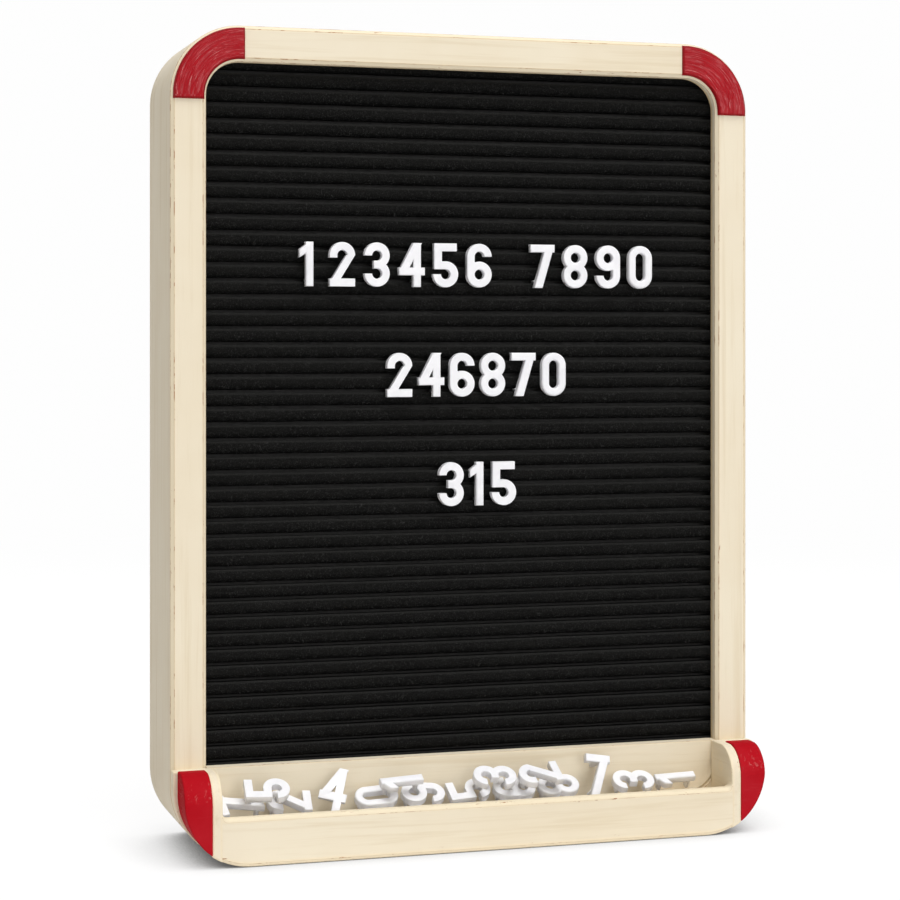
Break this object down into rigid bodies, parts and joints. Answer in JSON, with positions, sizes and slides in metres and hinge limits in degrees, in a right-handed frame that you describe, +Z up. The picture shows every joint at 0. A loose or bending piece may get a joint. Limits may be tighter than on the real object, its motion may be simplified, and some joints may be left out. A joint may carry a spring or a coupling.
{
  "type": "letter board",
  "caption": "Changeable letter board: rounded cream wooden frame with red corners, black grooved felt panel, push-in white digits and a front tray holding spare ones.",
  "frame": {"origin": "middle of the base, centred on the overall width and depth", "axes": "+X to the viewer's right, +Y to the rear, +Z up; the felt and the tray face -Y"},
  "size_m": [0.245, 0.072, 0.327],
  "materials": {
    "cream_paint": "thin cream paint over pale wood, satin, worn at the edges",
    "red_paint": "brushed red gloss paint over wood",
    "bare_wood": "unpainted wood",
    "dark_board": "black stained fibreboard, matte",
    "back_board": "smooth brown hardboard",
    "zinc_steel": "zinc plated, satin",
    "black_felt": "black felt wrapped over slats, matte, fuzzy",
    "white_plastic": "moulded white plastic, satin"
  },
  "bodies": {
    "board": {"left_stile": "cream_paint", "right_stile": "cream_paint", "top_rail": "cream_paint", "bottom_rail": "cream_paint", "top_left_corner": "cream_paint", "top_right_corner": "cream_paint", "bottom_left_corner": "cream_paint", "bottom_right_corner": "cream_paint", "tray_back": "cream_paint", "tray_floor": "cream_paint", "tray_front": "cream_paint", "left_cheek": "cream_paint", "right_cheek": "cream_paint", "left_corner_inlay": "red_paint", "right_corner_inlay": "red_paint", "left_end_block": "red_paint", "right_end_block": "red_paint", "frame_dowels": "bare_wood", "tray_dowels": "bare_wood", "slat_cores": "bare_wood", "spacer_battens": "bare_wood", "back_screws": "zinc_steel", "left_hanger": "zinc_steel", "right_hanger": "zinc_steel", "hanger_screws": "zinc_steel", "groove_board": "dark_board", "back_panel": "back_board", "felt_covers": "black_felt"},
    "row1_place1": {"row1_place1": "white_plastic"},
    "row1_place2": {"row1_place2": "white_plastic"},
    "row1_place3": {"row1_place3": "white_plastic"},
    "row1_place4": {"row1_place4": "white_plastic"},
    "row1_place5": {"row1_place5": "white_plastic"},
    "row1_place6": {"row1_place6": "white_plastic"},
    "row1_place8": {"row1_place8": "white_plastic"},
    "row1_place9": {"row1_place9": "white_plastic"},
    "row1_place10": {"row1_place10": "white_plastic"},
    "row1_place11": {"row1_place11": "white_plastic"},
    "row2_place1": {"row2_place1": "white_plastic"},
    "row2_place2": {"row2_place2": "white_plastic"},
    "row2_place3": {"row2_place3": "white_plastic"},
    "row2_place4": {"row2_place4": "white_plastic"},
    "row2_place5": {"row2_place5": "white_plastic"},
    "row2_place6": {"row2_place6": "white_plastic"},
    "row3_place1": {"row3_place1": "white_plastic"},
    "row3_place2": {"row3_place2": "white_plastic"},
    "row3_place3": {"row3_place3": "white_plastic"},
    "loose_characters": {"loose_0": "white_plastic", "loose_1": "white_plastic", "loose_2": "white_plastic", "loose_3": "white_plastic", "loose_4": "white_plastic", "loose_5": "white_plastic", "loose_6": "white_plastic", "loose_7": "white_plastic", "loose_8": "white_plastic", "loose_9": "white_plastic"}
  },
  "joints": [
    {"name": "row1_place1_pull", "type": "slide", "parent": "board", "child": "row1_place1", "axis": [0, -1, 0], "range_m": [0, 0.03]},
    {"name": "row1_place2_pull", "type": "slide", "parent": "board", "child": "row1_place2", "axis": [0, -1, 0], "range_m": [0, 0.03]},
    {"name": "row1_place3_pull", "type": "slide", "parent": "board", "child": "row1_place3", "axis": [0, -1, 0], "range_m": [0, 0.03]},
    {"name": "row1_place4_pull", "type": "slide", "parent": "board", "child": "row1_place4", "axis": [0, -1, 0], "range_m": [0, 0.03]},
    {"name": "row1_place5_pull", "type": "slide", "parent": "board", "child": "row1_place5", "axis": [0, -1, 0], "range_m": [0, 0.03]},
    {"name": "row1_place6_pull", "type": "slide", "parent": "board", "child": "row1_place6", "axis": [0, -1, 0], "range_m": [0, 0.03]},
    {"name": "row1_place8_pull", "type": "slide", "parent": "board", "child": "row1_place8", "axis": [0, -1, 0], "range_m": [0, 0.03]},
    {"name": "row1_place9_pull", "type": "slide", "parent": "board", "child": "row1_place9", "axis": [0, -1, 0], "range_m": [0, 0.03]},
    {"name": "row1_place10_pull", "type": "slide", "parent": "board", "child": "row1_place10", "axis": [0, -1, 0], "range_m": [0, 0.03]},
    {"name": "row1_place11_pull", "type": "slide", "parent": "board", "child": "row1_place11", "axis": [0, -1, 0], "range_m": [0, 0.03]},
    {"name": "row2_place1_pull", "type": "slide", "parent": "board", "child": "row2_place1", "axis": [0, -1, 0], "range_m": [0, 0.03]},
    {"name": "row2_place2_pull", "type": "slide", "parent": "board", "child": "row2_place2", "axis": [0, -1, 0], "range_m": [0, 0.03]},
    {"name": "row2_place3_pull", "type": "slide", "parent": "board", "child": "row2_place3", "axis": [0, -1, 0], "range_m": [0, 0.03]},
    {"name": "row2_place4_pull", "type": "slide", "parent": "board", "child": "row2_place4", "axis": [0, -1, 0], "range_m": [0, 0.03]},
    {"name": "row2_place5_pull", "type": "slide", "parent": "board", "child": "row2_place5", "axis": [0, -1, 0], "range_m": [0, 0.03]},
    {"name": "row2_place6_pull", "type": "slide", "parent": "board", "child": "row2_place6", "axis": [0, -1, 0], "range_m": [0, 0.03]},
    {"name": "row3_place1_pull", "type": "slide", "parent": "board", "child": "row3_place1", "axis": [0, -1, 0], "range_m": [0, 0.03]},
    {"name": "row3_place2_pull", "type": "slide", "parent": "board", "child": "row3_place2", "axis": [0, -1, 0], "range_m": [0, 0.03]},
    {"name": "row3_place3_pull", "type": "slide", "parent": "board", "child": "row3_place3", "axis": [0, -1, 0], "range_m": [0, 0.03]},
    {"name": "loose_lift", "type": "slide", "parent": "board", "child": "loose_characters", "axis": [0, 0, 1], "range_m": [0, 0.05]}
  ]
}
